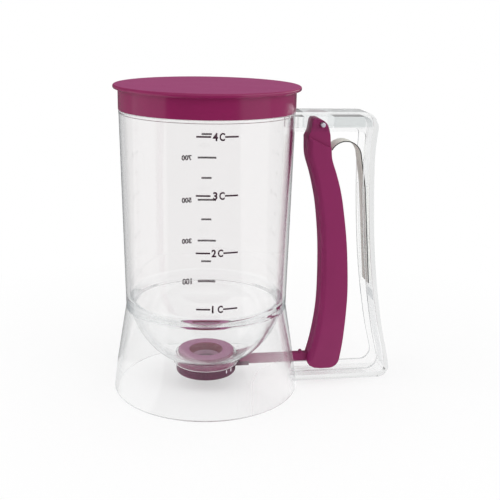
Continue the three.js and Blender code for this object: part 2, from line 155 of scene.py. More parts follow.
def merged(name, parts):
    letGo()
    for part in parts:
        part.select_set(True)
    bpy.context.view_layer.objects.active = parts[0]
    bpy.ops.object.join()
    parts[0].name = parts[0].data.name = name
    return parts[0]


def modify(obj, kind, **values):
    take(obj)
    change = obj.modifiers.new(kind, kind)
    for key, value in values.items():
        setattr(change, key, value)
    bpy.ops.object.modifier_apply(modifier=change.name)
    return obj


def softened(obj, width, segments=3, angle=40):
    return modify(obj, "BEVEL", width=width * mm, segments=segments, limit_method="ANGLE",
                  angle_limit=math.radians(angle), use_clamp_overlap=True)


def combined(obj, other, operation):
    modify(obj, "BOOLEAN", object=other, operation=operation, solver="EXACT")
    bpy.data.objects.remove(other)
    return obj


def carved(obj, cutter):
    return combined(obj, cutter, "DIFFERENCE")


def joined(obj, other):
    return combined(obj, other, "UNION")


def smoothed(obj, angle=32, weight=100):
    # smooth over edges below the angle, with each big face keeping its own direction
    take(obj)
    bpy.ops.object.shade_smooth_by_angle(angle=math.radians(angle))
    return modify(obj, "WEIGHTED_NORMAL", mode="FACE_AREA", weight=weight, keep_sharp=True)


def dressed(obj, finish, body, slotName, *nodes):
    obj.data.materials.clear()
    obj.data.materials.append(finish)
    if body:
        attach(obj, body)
    if nodes:
        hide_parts(*nodes)


# Outlines

def rounded(corners, step=15, straight=0.02, share=0.49):
    # corners are (x, z) or (x, z, radius): each radius becomes an arc of short lines, unless the
    # corner is nearly straight, and takes at most a share of the sides that meet there
    points = []
    for i, corner in enumerate(corners):
        here = Vector(corner[:2])
        radius = corner[2] if len(corner) > 2 else 0
        before = Vector(corners[i - 1][:2]) - here
        after = Vector(corners[(i + 1) % len(corners)][:2]) - here
        turn = math.pi - before.angle(after) if before.length and after.length else 0
        if not radius or turn < straight:
            points.append(tuple(here))
            continue
        cut = min(radius * math.tan(turn / 2), share * before.length, share * after.length)
        radius = cut / math.tan(turn / 2)
        middle = (before.normalized() + after.normalized()).normalized()
        centre = here + middle * math.hypot(radius, cut)
        start = here + before.normalized() * cut - centre
        side = 1 if start.cross(here + after.normalized() * cut - centre) > 0 else -1
        count = max(2, math.ceil(math.degrees(turn) / step))
        for k in range(count + 1):
            angle = side * turn * k / count
            c, s = math.cos(angle), math.sin(angle)
            points.append((centre.x + start.x * c - start.y * s,
                           centre.y + start.x * s + start.y * c))
    return points


def smoothLine(points, steps):
    # a curve through every point, as a draughtsman's spline
    line = []
    last = len(points) - 1
    for k in range(steps + 1):
        t = k / steps * last
        i = min(int(t), last - 1)
        u = t - i
        p0, p1, p2, p3 = (Vector(points[max(0, min(last, j))]) for j in (i - 1, i, i + 1, i + 2))
        line.append(tuple(
            0.5 * (2 * p1 + (p2 - p0) * u + (2 * p0 - 5 * p1 + 4 * p2 - p3) * u * u
                   + (3 * p1 - p0 - 3 * p2 + p3) * u ** 3)))
    return line


def arc(x, z, radius, start, end, count=10):
    angles = [math.radians(start + (end - start) * k / count) for k in range(count + 1)]
    return [(x + radius * math.cos(a), z + radius * math.sin(a)) for a in angles]


def moved(line, distance):
    # the line shifted to the right of its travel
    result = []
    for i, point in enumerate(line):
        before, after = Vector(line[max(i - 1, 0)]), Vector(line[min(i + 1, len(line) - 1)])
        along = (after - before).normalized()
        result.append((point[0] + along.y * distance, point[1] - along.x * distance))
    return result


# Materials

# the counts of bounces past which a ray is deep or turned back, and the most light of a lit face
rays = {"deep": 7.5, "turned": 0.5, "brightest": 4.0}


class Sock:
    # a node's output, so that shader maths reads as plain expressions
    def __init__(self, finish, socket):
        self.finish, self.socket = finish, socket

    def sum(self, operation, first, second):
        return self.finish.node("Math", {"operation": operation}, {0: first, 1: second})

    def __add__(self, other):
        return self.sum("ADD", self, other)

    __radd__ = __add__

    def __sub__(self, other):
        return self.sum("SUBTRACT", self, other)

    def __rsub__(self, other):
        return self.sum("SUBTRACT", other, self)

    def __mul__(self, other):
        return self.sum("MULTIPLY", self, other)

    __rmul__ = __mul__

    def most(self, other):
        return self.sum("MAXIMUM", self, other)

    def above(self, other):
        return self.sum("GREATER_THAN", self, other)

    def band(self, low, high):
        # 1 between two values, with hard ends
        return self.above(low) * (1 - self.above(high))

    def turnFrom(self, other):
        # the angle of two lengths at right angles, in radians
        return self.sum("ARCTAN2", self, other)

    def size(self):
        return self.finish.node("Math", {"operation": "ABSOLUTE"}, {0: self})


class Finish:
    def __init__(self, name, world=None):
        self.owner = world or bpy.data.materials.new(name)
        self.owner.use_nodes = True
        self.tree = self.owner.node_tree
        self.tree.nodes.clear()

    def node(self, kind, settings=None, inputs=None, output=0):
        made = self.tree.nodes.new("ShaderNode" + kind)
        for key, value in (settings or {}).items():
            setattr(made, key, value)
        for key, value in (inputs or {}).items():
            if isinstance(value, Sock):
                self.tree.links.new(value.socket, made.inputs[key])
            else:
                made.inputs[key].default_value = value
        return Sock(self, made.outputs[output])

    def spot(self):
        # the point of the surface, in the object's own coordinates
        return self.node("TexCoord", output="Object")

    def where(self, centre=(0, 0, 0), stretch=(1, 1, 1)):
        shift = tuple(-c for c in centre)
        centred = self.node("VectorMath", {"operation": "ADD"}, {0: self.spot(), 1: shift})
        return self.node("Mapping", {}, {"Vector": centred, "Scale": stretch})

    def ways(self, vector, names="XYZ"):
        return [self.node("SeparateXYZ", {}, {0: vector}, name) for name in names]

    def fromAxis(self):
        # millimetres out from the jug's axis, across and up
        return self.ways(self.where(jugAxis, (1 / mm, 1 / mm, 1 / mm)))

    def measure(self, operation, vector, other=(0, 0, 0)):
        return self.node("VectorMath", {"operation": operation}, {0: vector, 1: other}, "Value")

    def noise(self, scale, detail, roughness, stretch=(1, 1, 1)):
        return self.node("TexNoise", {}, {
            "Vector": self.where(stretch=stretch), "Scale": scale, "Detail": detail,
            "Roughness": roughness})

    def mapped(self, value, given, wanted):
        return self.node("MapRange", {"clamp": True}, {
            "Value": value, "From Min": given[0], "From Max": given[1],
            "To Min": wanted[0], "To Max": wanted[1]})

    def between(self, share, low, high):
        # from 0..1 to low..high
        return self.mapped(share, (0.0, 1.0), (low, high))

    def stretched(self, value, low, high):
        # from low..high to 0..1
        return self.mapped(value, (low, high), (0.0, 1.0))

    def faded(self, value, low, high):
        # from low..high to 1..0
        return 1 - self.stretched(value, low, high)

    def mixed(self, share, first, second):
        return self.node("Mix", {"data_type": "RGBA"}, {"Factor": share, 6: first, 7: second}, 2)

    def bump(self, height, strength, depth):
        # the depth is in millimetres
        return self.node("Bump", {}, {
            "Height": height, "Strength": strength, "Distance": depth * mm})

    def ray(self, name):
        return self.node("LightPath", output=name)

    def path(self, *names):
        # 1 for rays of these kinds
        seen = self.ray(names[0])
        for name in names[1:]:
            seen = seen.most(self.ray(name))
        return seen

    def deepRay(self):
        return self.ray("Ray Depth").above(rays["deep"])

    def throughRay(self):
        # one that left the clear body, or was caught in it for long
        return self.path("Is Transmission Ray").most(self.deepRay())

    def turnedRay(self):
        # one that a reflection turned back
        return self.ray("Glossy Depth").above(rays["turned"])

    def shader(self, kind, inputs):
        return self.node(kind, {}, inputs)

    def skin(self, inputs):
        return self.shader("BsdfPrincipled", inputs)

    def light(self, kind, strength):
        return self.shader(kind, {"Color": (1, 1, 1, 1), "Strength": strength})

    def choose(self, share, first, second):
        return self.node("MixShader", {}, {0: share, 1: first, 2: second})

    def lit(self, kind, level):
        # white light of a level that varies, mixed from none and the brightest
        most = rays["brightest"]
        return self.choose(level * (1 / most), self.light(kind, 0.0), self.light(kind, most))

    def done(self, surface, volume=None):
        use = "World" if isinstance(self.owner, bpy.types.World) else "Material"
        out = self.tree.nodes.new("ShaderNodeOutput" + use)
        for name, value in (("Surface", surface), ("Volume", volume)):
            if value:
                self.tree.links.new(value.socket, out.inputs[name])
        return self.owner


def colour(red, green, blue):
    # from 0..255 as seen on a screen to the linear values that a shader takes
    def linear(c):
        c /= 255
        return c / 12.92 if c <= 0.04045 else ((c + 0.055) / 1.055) ** 2.4
    return (linear(red), linear(green), linear(blue), 1.0)


# places are in millimetres from the jug's axis and the ground; a noise is its scale, detail,
# roughness and stretch, and a bump its strength and depth
clearLook = {
    "ior": 1.57, "tint": colour(254, 254, 254), "shadowTint": (0.975, 0.98, 0.98, 1.0),
    "absorb": (0.78, 0.80, 0.80, 1.0), "absorbDensity": 12.0,
    "flow": (26.0, 2.0, 0.4, (1, 1, 0.35)), "flowBump": (0.06, 0.4),
    "scuff": (900.0, 2.0, 0.6, (1, 1, 0.2)), "roughness": (0.012, 0.032),
    # painted shade: greyer where the wall is seen edge-on, and more so at the waist
    "facing": 0.5, "edgeOn": (0.66, 0.97), "paintedEdgeShade": colour(172, 178, 183),
    "waist": (53.5, 60.5), "waistEdge": (0.42, 0.85), "paintedWaistShade": colour(128, 135, 142),
    "jugReach": 53.5, "jugLow": 62.0, "jugTint": colour(250, 249, 249),
    # painted shade on the sides of the top arm, but for the part beside the trigger's head
    "armReach": (56.0, 99.5), "armLow": 163.9, "armHigh": 171.3, "armSlant": 0.19,
    "paintedArmShade": colour(238, 240, 240), "besideHead": (57.2, 75.4),
    # how many rays go straight on in front of the head and along the arm's top
    "headHeight": (162.2, 172.2), "headShare": 0.9, "topShare": 0.45,
    # a painted pale veil on the wall in front of the rod, for light reflected there, which only the
    # camera sees
    "veilStart": (12.0, 26.0), "veilEnd": (46.0, 58.0), "veilTop": (20.0, 44.0), "veilShare": 0.45,
    "paintedVeilTint": colour(228, 225, 226),
}


def clearPlastic():
    c = clearLook
    f = Finish("clearMouldedPlastic")
    facing = f.node("LayerWeight", {}, {"Blend": c["facing"]}, "Facing")
    reach, across, height = f.fromAxis()
    besideHead = reach.band(*c["besideHead"])
    sides = (height + across * c["armSlant"]).above(c["armLow"]) * (1 - height.above(c["armHigh"]))
    arm = reach.band(*c["armReach"]) * sides * (1 - besideHead)
    jug = height.above(c["jugLow"]) * (1 - reach.above(c["jugReach"]))
    ring = height.band(*c["waist"]) * f.stretched(facing, *c["waistEdge"])
    tint = f.mixed(jug, c["tint"], c["jugTint"])
    # painted shade on the sides of the top arm
    tint = f.mixed(arm, tint, c["paintedArmShade"])
    # painted shade where the wall is seen edge-on, and at the waist
    tint = f.mixed(f.stretched(facing, *c["edgeOn"]), tint, c["paintedEdgeShade"])
    tint = f.mixed(ring, tint, c["paintedWaistShade"])
    glass = f.skin({
        "Base Color": tint, "Roughness": f.between(f.noise(*c["scuff"]), *c["roughness"]),
        "IOR": c["ior"], "Transmission Weight": 1.0,
        "Normal": f.bump(f.noise(*c["flow"]), *c["flowBump"])})
    passing = f.shader("BsdfTransparent", {"Color": c["shadowTint"]})
    grey = f.shader("VolumeAbsorption", {"Color": c["absorb"], "Density": c["absorbDensity"]})
    # light that only brightens other things goes straight on, and so does a ray caught inside
    # for long
    straight = f.path("Is Shadow Ray", "Is Diffuse Ray").most(f.deepRay())
    inFront = besideHead * height.band(*c["headHeight"]) * c["headShare"]
    onTop = height.above(c["headHeight"][1]) * reach.above(c["armReach"][0]) * c["topShare"]
    straight = straight.most(inFront.most(onTop) * f.path("Is Camera Ray", "Is Glossy Ray"))
    # painted veil of reflected light in front of the rod, seen by the camera alone
    veilMask = f.stretched(reach, *c["veilStart"]) * f.faded(reach, *c["veilEnd"])
    veilMask = veilMask * f.faded(height, *c["veilTop"])
    paintedVeil = f.shader("BsdfDiffuse", {"Color": c["paintedVeilTint"]})
    veiled = f.choose(veilMask * f.path("Is Camera Ray") * c["veilShare"], glass, paintedVeil)
    return f.done(f.choose(straight, veiled, passing), grey)


# a share is how much of a noise goes into the tone, the bump or the gloss
plumLook = {
    "ior": 1.5, "gloss": 0.3, "bump": (0.12, 0.05),
    "cloud": (35.0, 4.0, 0.55), "cloudEdges": (0.35, 0.65), "cloudShare": 0.6,
    "fleck": (2600.0, 2.0, 0.5), "fleckShare": 0.25, "pebble": (1500.0, 3.0, 0.6),
    "streak": (420.0, 3.0, 0.6, (1, 1, 0.06)), "streakShare": 0.3, "rubEdges": (0.58, 0.75),
    "rubShare": 0.06, "smoother": 0.04, "rougher": 0.05, "matt": 0.55,
}
# a zone is two heights, a radius round the jug's axis and another tone
plumPieces = {
    "satinPlumTrigger": {"tones": (colour(132, 34, 88), colour(124, 28, 80)), "roughness": 0.4},
    "satinPlumLid": {
        "tones": (colour(131, 34, 82), colour(122, 29, 75)), "roughness": 0.14, "relief": 0.4,
        # the lid's top is painted lighter, for the light from above
        "zones": [((188.9, 190.0), 54.9, colour(143, 58, 104))], "mattAbove": 188.9},
    "satinPlumValve": {
        "tones": (colour(134, 44, 92), colour(120, 36, 80)), "roughness": 0.42,
        # painted light and shade: the cap is painted darker for the seat's shadow, the seat's top
        # and the rings low in the bore and on the gate paler for the light on them, and the bore
        # above them darker for the shade inside it
        "zones": [
            ((-1.0, 14.72), 30.0, colour(88, 26, 62)), ((14.72, 21.9), 10.75, colour(122, 18, 58)),
            ((14.72, 17.3), 10.75, colour(190, 146, 172)),
            ((12.0, 13.6), 8.05, colour(186, 142, 168)),
            ((22.1, 30.0), 19.0, colour(170, 100, 142))]},
}


def plumPlastic(name, tones, roughness, relief=1.0, zones=(), mattAbove=None):
    p = plumLook
    f = Finish(name)
    cloud = f.stretched(f.noise(*p["cloud"]), *p["cloudEdges"])
    streak = f.noise(*p["streak"])
    shade = f.mixed(cloud * p["cloudShare"] + f.noise(*p["fleck"]) * p["fleckShare"], *tones)
    height = f.fromAxis()[2]
    out = f.measure("LENGTH", f.where(jugAxis, (1 / mm, 1 / mm, 0)))
    for heights, radius, other in zones:
        shade = f.mixed(height.band(*heights) * (1 - out.above(radius)), shade, other)
    rub = f.stretched(streak, *p["rubEdges"])
    rough = f.between(cloud, roughness - p["smoother"], roughness + p["rougher"])
    rough = rough - rub * p["rubShare"]
    if mattAbove:
        rough = rough + height.above(mattAbove) * p["matt"]
    strength, depth = p["bump"]
    normal = f.bump(f.noise(*p["pebble"]) + streak * p["streakShare"], strength * relief, depth)
    return f.done(f.skin({
        "Base Color": shade, "Roughness": rough, "IOR": p["ior"], "Normal": normal,
        "Specular IOR Level": p["gloss"]}))


# bright rolled faces, which give off a little painted light, and dark sheared edges
springLook = {
    "tones": (colour(238, 238, 230), colour(222, 222, 212)), "cloud": (60.0, 3.0, 0.5),
    "cloudEdges": (0.3, 0.7), "cutAcross": 5.98, "cutTone": colour(38, 37, 34),
    "grain": (1600.0, 4.0, 0.65, (1, 1, 0.02)), "roughness": (0.3, 0.45), "bump": (0.15, 0.02),
    "metallic": (0.05, 0.1), "paintedGlow": 0.1,
}


def springSteel():
    s = springLook
    f = Finish("rolledSpringSteel")
    cut = f.fromAxis()[1].size().above(s["cutAcross"])
    grain = f.noise(*s["grain"])
    face = f.mixed(f.stretched(f.noise(*s["cloud"]), *s["cloudEdges"]), *s["tones"])
    shade = f.mixed(cut, face, s["cutTone"])
    return f.done(f.skin({
        "Base Color": shade, "Metallic": f.between(cut, *s["metallic"]),
        "Roughness": f.between(grain, *s["roughness"]), "Normal": f.bump(grain, *s["bump"]),
        # painted light: the steel glows a little in its own colour
        "Emission Color": shade, "Emission Strength": s["paintedGlow"]}))


grainLooks = {
    "turnedPinSteel": {
        "tones": (colour(222, 218, 228), colour(204, 200, 212)),
        "grain": (2200.0, 3.0, 0.6, (1, 0.05, 1)),
        "roughness": (0.26, 0.4), "bump": (0.1, 0.02), "metallic": 0.35},
    "plumScaleInk": {
        "tones": (colour(38, 4, 24), colour(56, 10, 38)), "grain": (3800.0, 3.0, 0.6),
        "roughness": (0.42, 0.6), "bump": (0.1, 0.02), "edges": (0.35, 0.7)},
    "softSealSilicone": {
        "tones": (colour(172, 122, 150), colour(150, 100, 130)), "grain": (1800.0, 3.0, 0.6),
        "roughness": (0.5, 0.68), "bump": (0.15, 0.03)},
    # painted highlight: white for the glints on the cap's two bumps
    "paintedPipGlint": {
        "tones": (colour(250, 246, 250), colour(232, 226, 234)), "grain": (2600.0, 3.0, 0.6),
        "roughness": (0.35, 0.5), "bump": (0.1, 0.02)},
}


def grained(name, tones, grain, roughness, bump, edges=(0.0, 1.0), metallic=0.0):
    f = Finish(name)
    speck = f.noise(*grain)
    return f.done(f.skin({
        "Base Color": f.mixed(f.stretched(speck, *edges), *tones), "Metallic": metallic,
        "Roughness": f.between(speck, *roughness), "Normal": f.bump(speck, *bump)}))


clear, steelSpring = clearPlastic(), springSteel()
plumTrigger, plumLid, plumValve = (plumPlastic(name, **look) for name, look in plumPieces.items())
steelPin, ink, silicone, pipGlint = (grained(name, **look) for name, look in grainLooks.items())
print("materials made")


# Clear body: jug, bowl, spigot and skirt in one turned shell, with the channel handle moulded on

body = {
    "steps": 160, "arcStep": 9,
    "lip": (51.2, 187.3, 1.1), "collar": (52.4, 174.7), "bead": (52.45, 173.4),
    "neck": (52.3, 173.1), "waist": (49.9, 54.2), "shin": (56.4, 15.0), "foot": (58.2, 0.0),
    "wall": 2.2, "innerWaist": 53.8, "flange": (50.02, 59.8),
    "bowl": (45.5, 2.2, 61.55), "bowlEnd": 53.6, "spigot": (18.4, 20.6, 15.0),
    "round": {"lip": 0.4, "collar": 0.15, "bead": 0.5, "neck": 0.2, "waist": 1.2, "shin": 12,
              "foot": 0.5, "inner": 0.15, "spigot": 0.4, "ledge": 6, "flange": 14},
    "window": ((40, -3.5, 8.4), (62, 3.5, 19.0)), "windowRound": 0.8,
    # the room inside, which the arms are cut back to
    "bore": [(0, -2), (57.0, -2), (55.1, 15), (48.8, 54.2), (51.2, 176), (0, 176)],
}


def bowlLine(radius, startRadius, endHeight, count=26):
    centre = body["bowl"][2]
    low = math.asin(startRadius / radius)
    high = math.acos((centre - endHeight) / radius)
    angles = [low + (high - low) * k / count for k in range(count + 1)]
    return [(radius * math.sin(a), centre - radius * math.cos(a)) for a in angles]


def clearShell():
    b, r = body, body["round"]
    wall = b["wall"]
    bowlRadius, bowlWall, _ = b["bowl"]
    bore, spigot, spigotBottom = b["spigot"]
    lipR, lipZ, lipWall = b["lip"]
    (_, collarZ), (beadR, beadZ), (waistR, waistZ) = b["collar"], b["bead"], b["waist"]
    (shinR, shinZ), (footR, footZ), (flangeR, flangeZ) = b["shin"], b["foot"], b["flange"]
    outside = bowlLine(bowlRadius + bowlWall, spigot, b["bowlEnd"])
    inside = bowlLine(bowlRadius, bore, waistZ)
    corners = [
        (lipR - lipWall, lipZ, r["lip"]), (lipR, lipZ, r["lip"]), (lipR, collarZ, r["collar"]),
        (beadR, collarZ, r["bead"]), (beadR, beadZ, r["bead"]), (*b["neck"], r["neck"]),
        (waistR, waistZ, r["waist"]), (shinR, shinZ, r["shin"]), (footR, footZ, r["foot"]),
        (footR - wall, footZ, r["foot"]), (shinR - wall, shinZ, r["shin"]),
        (waistR - wall, b["innerWaist"], r["inner"]),
        *outside[::-1], (spigot, spigotBottom, r["spigot"]), (bore, spigotBottom, r["spigot"]),
        *inside[:-1], (*inside[-1], r["ledge"]), (flangeR - wall, flangeZ, r["flange"])]
    return spun("clearBody", rounded(corners, b["arcStep"]), b["steps"])


handle = {
    "width": 18.0, "wall": 2.0, "web": 2.8, "spine": 6.8, "round": 1.7,
    "top": 174.4, "bottom": 1.2, "topArmBottom": 162.8, "bottomArmTop": 7.4,
    "topCorner": (93.3, 164.4, 10.0), "footCorner": (112.4, 8.2, 7.0),
    "edge": [(103.3, 164.4), (102.09, 149.98), (102.33, 136.03), (102.98, 119.99), (104.91, 92.96),
             (107.97, 66.45), (112.8, 38.02), (117.47, 18.49), (119.4, 8.2)],
    "edgeSteps": 48, "innerCorner": (104.0, 14.6, 7.2), "topInner": 5.0,
    # where the arms' outline ends, inside the jug's wall
    "root": 50.0, "lowRoot": 57.0, "lowRootTop": 56.2,
    # the channel inside the handle, open towards the trigger and the jug
    "roomRoot": 40.0, "roomFront": 95, "roomOver": 8, "roomRound": 0.7,
}


def spineLine(distance):
    return moved(smoothLine(handle["edge"], handle["edgeSteps"]), distance)


def handleEdge(distance):
    x, z, radius = handle["topCorner"]
    fx, fz, footRadius = handle["footCorner"]
    return (arc(x, z, radius - distance, 90, 0)[:-1] + spineLine(distance)
            + arc(fx, fz, footRadius - distance, 0, -90)[1:])


def channelHandle():
    h = handle
    root, web = h["root"], h["web"]
    topArm, bottomArm = h["topArmBottom"], h["bottomArmTop"]
    cx, cz, cr = h["innerCorner"]
    free = [p for p in spineLine(h["spine"]) if bottomArm + cr < p[1] < topArm - h["topInner"]]
    inner = rounded([free[0], (free[0][0], topArm, h["topInner"]), (root, topArm)])[1:-1]
    outline = ([(root, h["top"])] + handleEdge(0)
               + [(h["lowRoot"], h["bottom"]), (h["lowRootTop"], bottomArm)]
               + arc(cx, cz, cr, -90, 0) + free[::-1] + inner + [(root, topArm)])
    solid = softened(slab("handleSolid", outline, h["width"]), h["round"], segments=4)
    start, front, over = h["roomRoot"], h["roomFront"], h["roomOver"]
    room = ([(start, h["top"] - web)] + handleEdge(web)
            + [(start, h["bottom"] + web), (start, bottomArm + over), (front, bottomArm + over),
               (front, topArm - over), (start, topArm - over)])
    hollow = slab("handleRoom", room, h["width"] - 2 * h["wall"])
    return carved(solid, softened(hollow, h["roomRound"], segments=2))


# both rails are cut from one strip: half widths across the object, half thicknesses, and how far
# the strip and the cuts reach past the spring's foot and knee
rails = {
    "root": 7.6, "inner": 5.6, "grooveSide": 6.6, "half": 1.4, "innerHalf": 4.0, "groove": 0.6,
    "stop": 2.0, "innerPast": 8, "past": 5,
}
leaf = {
    "width": 12.6, "thickness": 0.6, "centre": (84.29, 146.4), "radius": 9.89, "tipAngle": 153,
    "heelAngle": 12, "knee": (97.3, 128.39), "foot": (103.1, 65.59),
    "bend": [(95.37, 140.26), (96.6, 132.8)],
    "archSteps": 20, "bendSteps": 14, "legSteps": 10, "round": 0.12,
}


def springRails():
    # a pair of ribs inside the channel, each with a groove that the spring's leg slides down
    knee, foot = Vector(leaf["knee"]), Vector(leaf["foot"])
    along = (foot - knee).normalized()
    side = Vector((-along.y, along.x))

    def strip(start, end, half):
        return [tuple(start + side * half), tuple(end + side * half),
                tuple(end - side * half), tuple(start - side * half)]

    r = rails
    early = knee - along * r["past"]
    pair = slab("rails", strip(knee, foot + along * r["stop"], r["half"]), 2 * r["root"])
    late = foot + along * r["innerPast"]
    carved(pair, slab("between", strip(early, late, r["innerHalf"]), 2 * r["inner"]))
    return carved(pair, slab("groove", strip(early, foot, r["groove"]), 2 * r["grooveSide"]))


def clearBody():
    shell = clearShell()
    loose = channelHandle()
    # the arms end inside the wall that they grow from
    bore = spun("bore", body["bore"], body["steps"], closed=False)
    joined(loose, springRails())
    joined(shell, carved(loose, bore))
    window = softened(block("window", *body["window"]), body["windowRound"], segments=2, angle=60)
    dressed(smoothed(carved(shell, window)), clear, "body", "clear_body", "jug_wall", "funnel_bowl",
            "outlet_spigot", "base_skirt", "handle_top_arm", "handle_spine", "handle_bottom_arm",
            "spring_rail_near", "spring_rail_far")


clearBody()
print("clear body made")


# Lid

lid = {
    "steps": 160, "radius": 55.55, "top": 189.6, "plate": 2.0, "skirt": (52.6, 51.5),
    "bottom": 175.0, "rim": 2.4, "rings": (44.0, 30.0, 16.0), "smooth": 25,
    "round": {"ceiling": 0.8, "inner": 0.3, "outer": 0.4, "neck": 0.8, "rimLow": 0.9,
              "rimTop": 1.1},
}


def lidCover():
    r, bottom, radius = lid["round"], lid["bottom"], lid["radius"]
    outer, inner = lid["skirt"]
    top = lid["top"]
    ceiling, under = top - lid["plate"], top - lid["rim"]
    obj = spun("plumLidCover", rounded([
        (0, ceiling), (inner, ceiling, r["ceiling"]), (inner, bottom, r["inner"]),
        (outer, bottom, r["outer"]), (outer, under, r["neck"]), (radius, under, r["rimLow"]),
        (radius, top, r["rimTop"]), *((ring, top) for ring in lid["rings"]), (0, top)]),
        lid["steps"], closed=False)
    dressed(smoothed(obj, lid["smooth"]), plumLid, "lid", "plum_lid", "lid_cover")


lidCover()
print("lid made")


# Trigger

trigger = {
    "front": [(65.2, 13.4), (68.6, 26.92), (71.4, 45.86), (72.1, 64.5), (71.3, 91.18),
              (68.9, 113.76), (66.5, 126.24), (63.8, 136.66), (61.1, 144.87), (60.2, 150.08),
              (59.9, 157.97)],
    "back": [(86.12, 14.92), (87.8, 26.92), (89.1, 45.86), (89.3, 64.5), (87.4, 91.18),
             (84.2, 113.76), (81.7, 126.24), (78.6, 136.66), (75.72, 144.87), (74.95, 150.08),
             (74.34, 157.97)],
    "head": [(61.96, 162.71), (62.76, 168.4, 0.8), (63.72, 170.29, 1.2), (66.92, 170.29, 4.0),
             (69.96, 168.71, 4.0), (72.2, 166.66, 3.0), (73.19, 163.97, 2.0), (74.12, 160.34, 2.0)],
    # the toe goes out along the bottom and down from the front's low end
    "bottom": 8.6, "heel": 7.0, "toeLow": [(8.6, 0.0), (4.6, 0.5)],
    "toeHigh": [(1.4, 2.66), (0.2, 1.14)],
    "steps": 40, "gripWidth": 16.0, "headWidth": 13.0, "edge": 1.2, "frontEdge": 3.6,
    "frontSegments": 6,
    # the grip ends below this line, and the narrower head starts a little lower
    "shoulder": [(53.0, 163.0), (71.5, 153.6), (85.0, 150.4), (85.0, 176.0), (53.0, 176.0)],
    "shoulderPast": 4, "headOverlap": 1.2, "headRound": 0.7,
    "pin": (69.0, 166.5, 1.65), "pinCut": 30,
    # the hollow back: low and high ends, how many cells and the rib between them, and the corners
    # and ends of the blocks that cut it up, which reach past it
    "cells": (24.0, 136.0, 4, 1.6), "frontWall": 3.4, "wall": 2.2, "hollowBack": 102,
    "cutter": ((30, -30), (110, 30)), "cutterEnds": (-20, 240), "smooth": (40, 50),
    "rodSlot": ((40, -2.8, 9.9), (76.1, 2.8, 17.7)),
    "trunnionSlot": ((71.2, -5.3, 11.1), (74.8, 5.3, 16.5)),
}


def triggerOutline(front):
    t = trigger
    back = smoothLine(t["back"], t["steps"])
    heel = arc(back[0][0] - t["heel"], t["bottom"] + t["heel"], t["heel"], 0, -90)
    head = rounded([front[-1], *t["head"], back[-1]])[1:-1]
    x, z = front[0]
    toe = [(x + out, t["bottom"] + up) for out, up in t["toeLow"]]
    toe += [(x + out, z - down) for out, down in t["toeHigh"]]
    return front + head + back[::-1] + heel[1:] + toe


def roundedFront(obj, line, radius, segments, near=0.02):
    # a full radius down both long edges of the front, which the fingers pull
    places = [place(x, z) for x, z in line]
    edit(obj)
    bpy.ops.mesh.select_mode(type="EDGE")
    bpy.ops.mesh.select_all(action="DESELECT")
    bpy.ops.object.mode_set(mode="OBJECT")
    mesh = obj.data

    def onFront(index):
        spot = Vector((mesh.vertices[index].co.x, 0, mesh.vertices[index].co.z))
        return min((spot - other).length for other in places) < near * mm

    for edge in mesh.edges:
        ends = [mesh.vertices[i].co.y for i in edge.vertices]
        edge.select = ends[0] * ends[1] > 0 and all(onFront(i) for i in edge.vertices)
    bpy.ops.object.mode_set(mode="EDIT")
    bpy.ops.mesh.bevel(offset=radius * mm, segments=segments, affect="EDGES", clamp_overlap=False)
    bpy.ops.mesh.select_mode(type="VERT")
    bpy.ops.object.mode_set(mode="OBJECT")
    return obj


def triggerLever():
    t = trigger
    front = smoothLine(t["front"], t["steps"])
    outline = triggerOutline(front)
    grip = slab("plumTrigger", outline, t["gripWidth"])
    roundedFront(grip, front, t["frontEdge"], t["frontSegments"])
    carved(grip, slab("shoulderCut", t["shoulder"], t["gripWidth"] + t["shoulderPast"]))
    above = [(x, z - t["headOverlap"]) for x, z in t["shoulder"][:3]] + t["shoulder"][3:]
    # cropped before it is softened, because a crop of a softened slab comes out empty
    head = slab("head", outline, t["headWidth"])
    combined(head, slab("above", above, t["gripWidth"]), "INTERSECT")
    grip = joined(softened(grip, t["edge"]), softened(head, t["headRound"]))
    inner = moved(front, t["frontWall"])
    hollow = slab("hollow", inner + [(t["hollowBack"], z) for _, z in (inner[-1], inner[0])],
                  t["gripWidth"] - 2 * t["wall"])
    low, high, count, rib = t["cells"]
    step = (high - low + rib) / count
    (lowest, highest), (near, far) = t["cutterEnds"], t["cutter"]
    ribs = [(low + step * k - rib, low + step * k) for k in range(1, count)]
    for z0, z1 in [(lowest, low), *ribs, (high, highest)]:
        carved(hollow, block("rib", (*near, z0), (*far, z1)))
    carved(grip, hollow)
    x, z, radius = t["pin"]
    carved(grip, bar("pinHole", radius, x, z, t["pinCut"]))
    carved(grip, block("rodSlot", *t["rodSlot"]))
    carved(grip, block("trunnionSlot", *t["trunnionSlot"]))
    dressed(smoothed(grip, *t["smooth"]), plumTrigger, "trigger", "plum_trigger", "trigger_lever")


triggerLever()
print("trigger made")


# Leaf spring, pin, valve and rod

def leafSpring():
    s = leaf
    knee, foot, steps = Vector(s["knee"]), Vector(s["foot"]), s["legSteps"]
    bend = arc(*s["centre"], s["radius"], s["tipAngle"], s["heelAngle"], s["archSteps"])
    run = smoothLine([bend[-1], *s["bend"], knee], s["bendSteps"])
    leg = [tuple(knee.lerp(foot, k / steps)) for k in range(1, steps + 1)]
    line = bend[:-1] + run + leg
    half = s["thickness"] / 2
    outline = moved(line, -half) + moved(line, half)[::-1]
    obj = softened(slab("leafSpring", outline, s["width"]), s["round"], segments=2, angle=60)
    dressed(smoothed(obj), steelSpring, None, "spring_steel", "leaf_spring_leg", "leaf_spring_arch")
    tuple(place(97.6, 126.4))
    tuple(place(97.0, 130.4))
    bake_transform(obj)


pin = {"radius": 1.35, "length": 18, "round": 0.35}


def pivotPin():
    x, z, _ = trigger["pin"]
    obj = softened(bar("pivotPin", pin["radius"], x, z, pin["length"]), pin["round"])
    dressed(smoothed(obj), steelPin, "body", "pin_steel", "pivot_pin")


